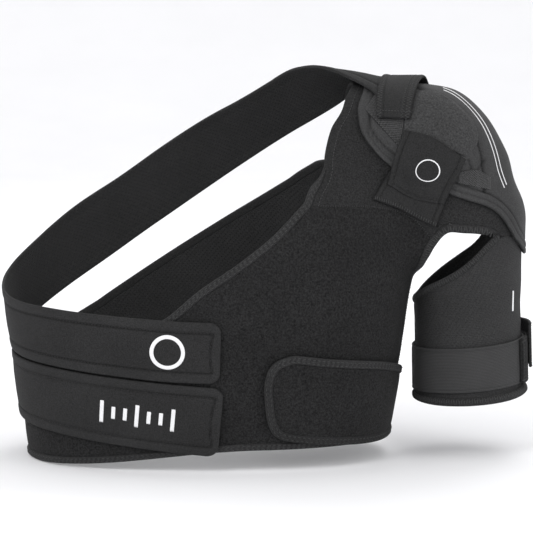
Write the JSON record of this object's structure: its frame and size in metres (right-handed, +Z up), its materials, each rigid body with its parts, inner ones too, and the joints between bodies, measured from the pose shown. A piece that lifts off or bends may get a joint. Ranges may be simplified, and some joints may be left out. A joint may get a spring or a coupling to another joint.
{
  "type": "shoulder brace",
  "caption": "Soft black shoulder brace with padded chest and back panels, a shoulder cap, an arm sleeve with an elastic band, and wrap-round straps.",
  "frame": {"origin": "inside top of the shoulder, where the brace sits on the wearer", "axes": "+X toward the braced arm (the wearer's left), +Y toward the wearer's back, +Z up"},
  "size_m": [0.4671, 0.2426, 0.3396],
  "materials": {
    "loop_cloth": "brushed loop-faced neoprene",
    "jersey": "smooth jersey-faced neoprene",
    "binding": "stitched knit tape",
    "strap_cloth": "padded strap cloth",
    "cap_shell": "moulded fabric shell",
    "cap_mesh": "open knit mesh",
    "elastic": "woven elastic"
  },
  "bodies": {
    "root": {"front_panel": "loop_cloth", "back_panel": "loop_cloth", "shoulder_yoke": "jersey", "neck_binding_front": "binding", "neck_binding_back": "binding", "armhole_binding_front": "binding", "armhole_binding_back": "binding", "hem_binding": "binding", "side_tab": "loop_cloth", "side_tab_binding": "binding", "sleeve": "jersey", "sleeve_hem_binding": "binding", "sleeve_opening_binding": "binding", "arm_band": "elastic", "arm_band_loop": "loop_cloth", "arm_band_tab": "strap_cloth", "shoulder_cap": "cap_shell", "cap_mesh_inner": "cap_mesh", "cap_mesh_outer": "cap_mesh", "cap_tongue": "cap_shell", "tab_patch": "strap_cloth", "front_tab": "strap_cloth", "upper_strap": "strap_cloth", "lower_strap": "strap_cloth", "keeper_strap": "strap_cloth"}
  },
  "joints": []
}
